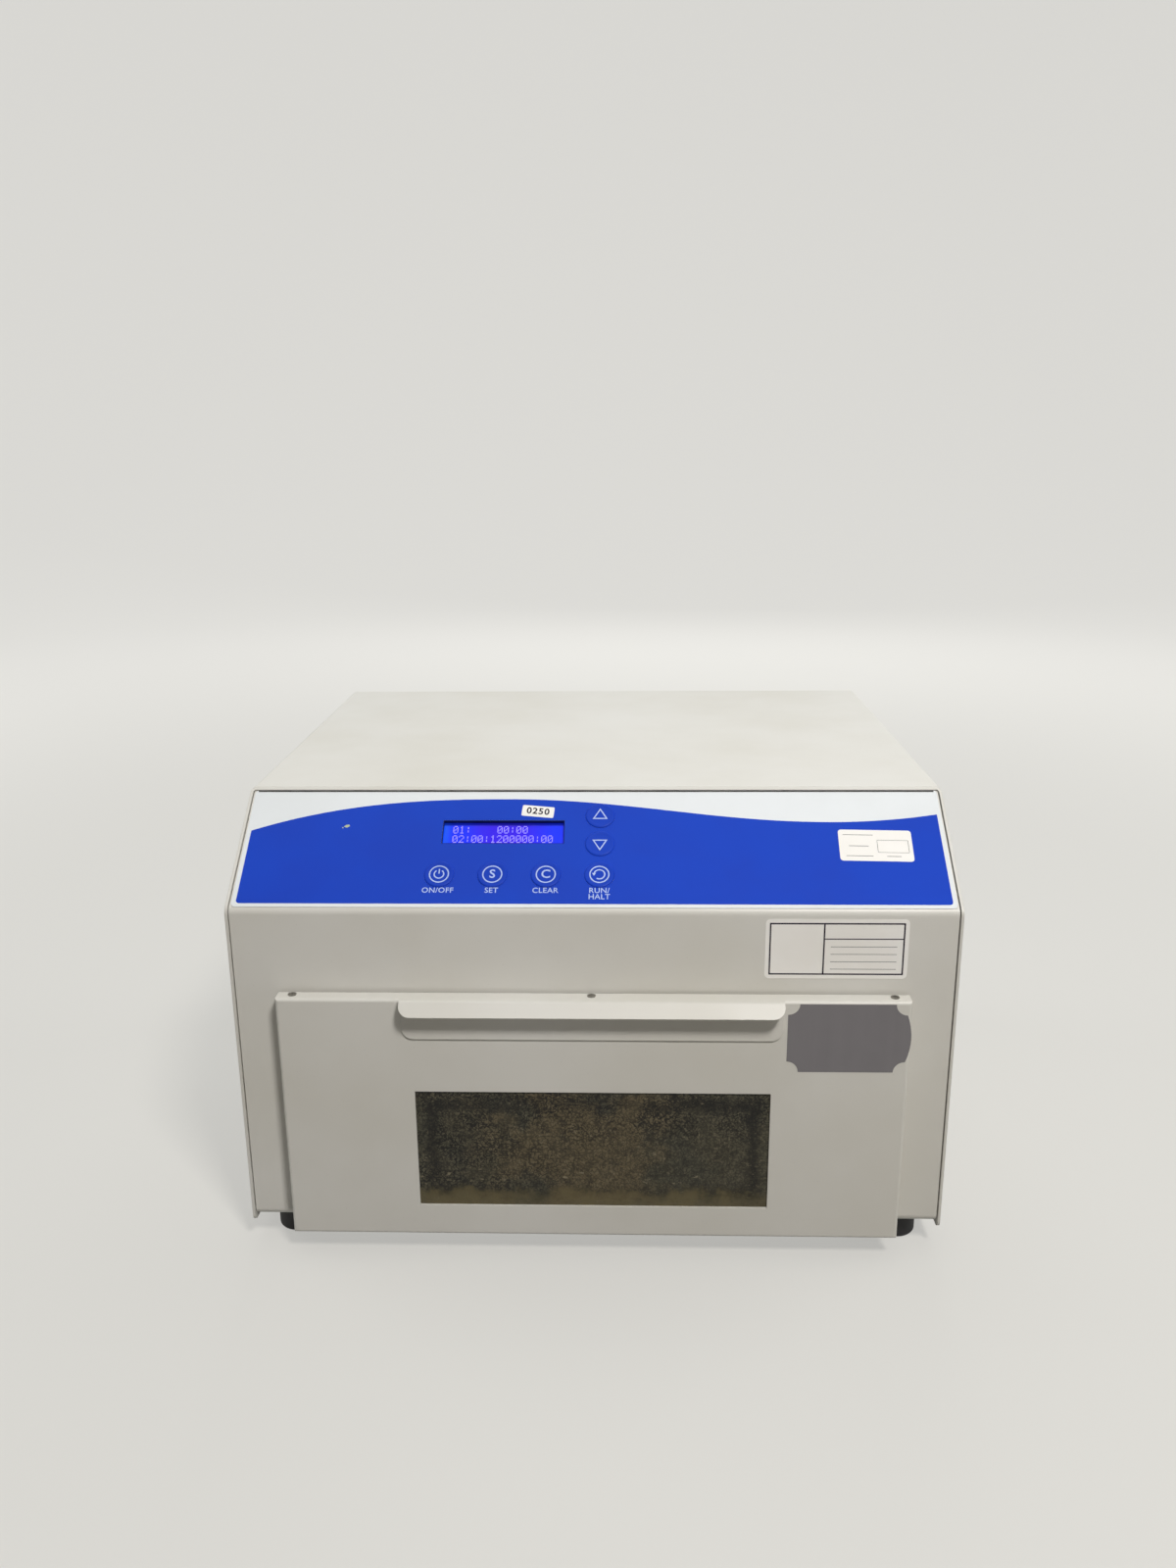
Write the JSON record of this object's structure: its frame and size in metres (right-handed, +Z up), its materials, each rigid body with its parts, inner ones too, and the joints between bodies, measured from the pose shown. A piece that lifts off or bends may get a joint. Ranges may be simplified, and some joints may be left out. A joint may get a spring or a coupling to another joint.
{
  "type": "ultraviolet exposure chamber",
  "caption": "Bench exposure cabinet with a drop-down windowed door, a sloping key panel with display, and tube lamps over a bright chamber.",
  "frame": {"origin": "middle of the whole part's footprint, on the bench", "axes": "+X to the right seen from the front, +Y from the door to the rear, +Z up"},
  "size_m": [0.404, 0.37, 0.264],
  "materials": {
    "casing_paint": "fine textured off-white powder coat",
    "panel_paint": "satin off-white powder coat",
    "base_steel": "zinc-plated sheet steel",
    "bright_sheet": "polished reflective aluminium",
    "foot_rubber": "black rubber",
    "screw_steel": "zinc-plated steel",
    "overlay_film": "printed satin polyester film",
    "key_film": "embossed satin film",
    "lamp_glass": "clear lamp glass",
    "cap_metal": "spun aluminium",
    "pin_brass": "brass",
    "socket_plastic": "white moulded plastic",
    "pane_filter": "aged brown-tinted filter pane",
    "board_green": "circuit board",
    "display_blue": "backlit blue display",
    "black_plastic": "black moulded plastic",
    "grey_plastic": "grey moulded plastic",
    "magnet_dark": "ferrite",
    "sensor_glass": "ground quartz",
    "fuse_glass": "glass cartridge"
  },
  "bodies": {
    "casing": {"outer_cover": "casing_paint", "front_panel": "panel_paint", "rear_panel": "casing_paint", "base_pan": "base_steel", "foot_front_left": "foot_rubber", "foot_front_right": "foot_rubber", "foot_rear_left": "foot_rubber", "foot_rear_right": "foot_rubber", "foot_screws": "screw_steel", "rear_screws": "screw_steel", "chamber_liner": "bright_sheet", "liner_rails": "base_steel", "lamp_reflector": "bright_sheet", "lamp_caps": "cap_metal", "lamp_pins": "pin_brass", "lamp_holders": "socket_plastic", "sensor_housing": "black_plastic", "sensor_lens": "sensor_glass", "hinge_fixed_leaf": "base_steel", "hinge_pin": "screw_steel", "catch_magnets": "magnet_dark", "interlock_switch": "black_plastic", "control_overlay": "overlay_film", "key_switches": "black_plastic", "display_bezel": "black_plastic", "display_glass": "display_blue", "display_board": "board_green", "control_board": "board_green", "board_studs": "screw_steel", "ballasts": "grey_plastic", "power_board": "board_green", "power_parts": "black_plastic", "ribbon_cable": "grey_plastic", "power_inlet": "black_plastic", "inlet_blades": "pin_brass", "lamp_tube_1": "lamp_glass", "lamp_tube_2": "lamp_glass", "lamp_tube_3": "lamp_glass", "lamp_tube_4": "lamp_glass", "lamp_tube_5": "lamp_glass"},
    "door": {"door_skin": "panel_paint", "door_inner_panel": "panel_paint", "window_pane": "pane_filter", "window_retainer": "base_steel", "retainer_posts": "screw_steel", "handle": "panel_paint", "handle_screws": "screw_steel", "door_screws": "screw_steel", "hinge_door_leaf": "base_steel"},
    "plunger": {"interlock_plunger": "black_plastic"},
    "fuse_tray": {"fuse_drawer": "black_plastic", "fuses": "fuse_glass"},
    "key_power": {"key_power": "key_film"},
    "key_mode": {"key_mode": "key_film"},
    "key_reset": {"key_reset": "key_film"},
    "key_start": {"key_start": "key_film"},
    "key_up": {"key_up": "key_film"},
    "key_down": {"key_down": "key_film"}
  },
  "joints": [
    {"name": "door_hinge", "type": "hinge", "parent": "casing", "child": "door", "pos_m": [0, -0.1695, 0.02], "axis": [1, 0, 0], "range_deg": [0, 90]},
    {"name": "plunger_slide", "type": "slide", "parent": "casing", "child": "plunger", "axis": [0, 1, 0], "range_m": [0, 0.001], "stiffness_N_per_m": 300},
    {"name": "fuse_drawer_slide", "type": "slide", "parent": "casing", "child": "fuse_tray", "axis": [0, 1, 0], "range_m": [0, 0.017]},
    {"name": "key_power_press", "type": "slide", "parent": "casing", "child": "key_power", "axis": [0, 0.6075, -0.7943], "range_m": [0, 0.0005], "stiffness_N_per_m": 2000},
    {"name": "key_mode_press", "type": "slide", "parent": "casing", "child": "key_mode", "axis": [0, 0.6075, -0.7943], "range_m": [0, 0.0005], "stiffness_N_per_m": 2000},
    {"name": "key_reset_press", "type": "slide", "parent": "casing", "child": "key_reset", "axis": [0, 0.6075, -0.7943], "range_m": [0, 0.0005], "stiffness_N_per_m": 2000},
    {"name": "key_start_press", "type": "slide", "parent": "casing", "child": "key_start", "axis": [0, 0.6075, -0.7943], "range_m": [0, 0.0005], "stiffness_N_per_m": 2000},
    {"name": "key_up_press", "type": "slide", "parent": "casing", "child": "key_up", "axis": [0, 0.6075, -0.7943], "range_m": [0, 0.0005], "stiffness_N_per_m": 2000},
    {"name": "key_down_press", "type": "slide", "parent": "casing", "child": "key_down", "axis": [0, 0.6075, -0.7943], "range_m": [0, 0.0005], "stiffness_N_per_m": 2000}
  ]
}
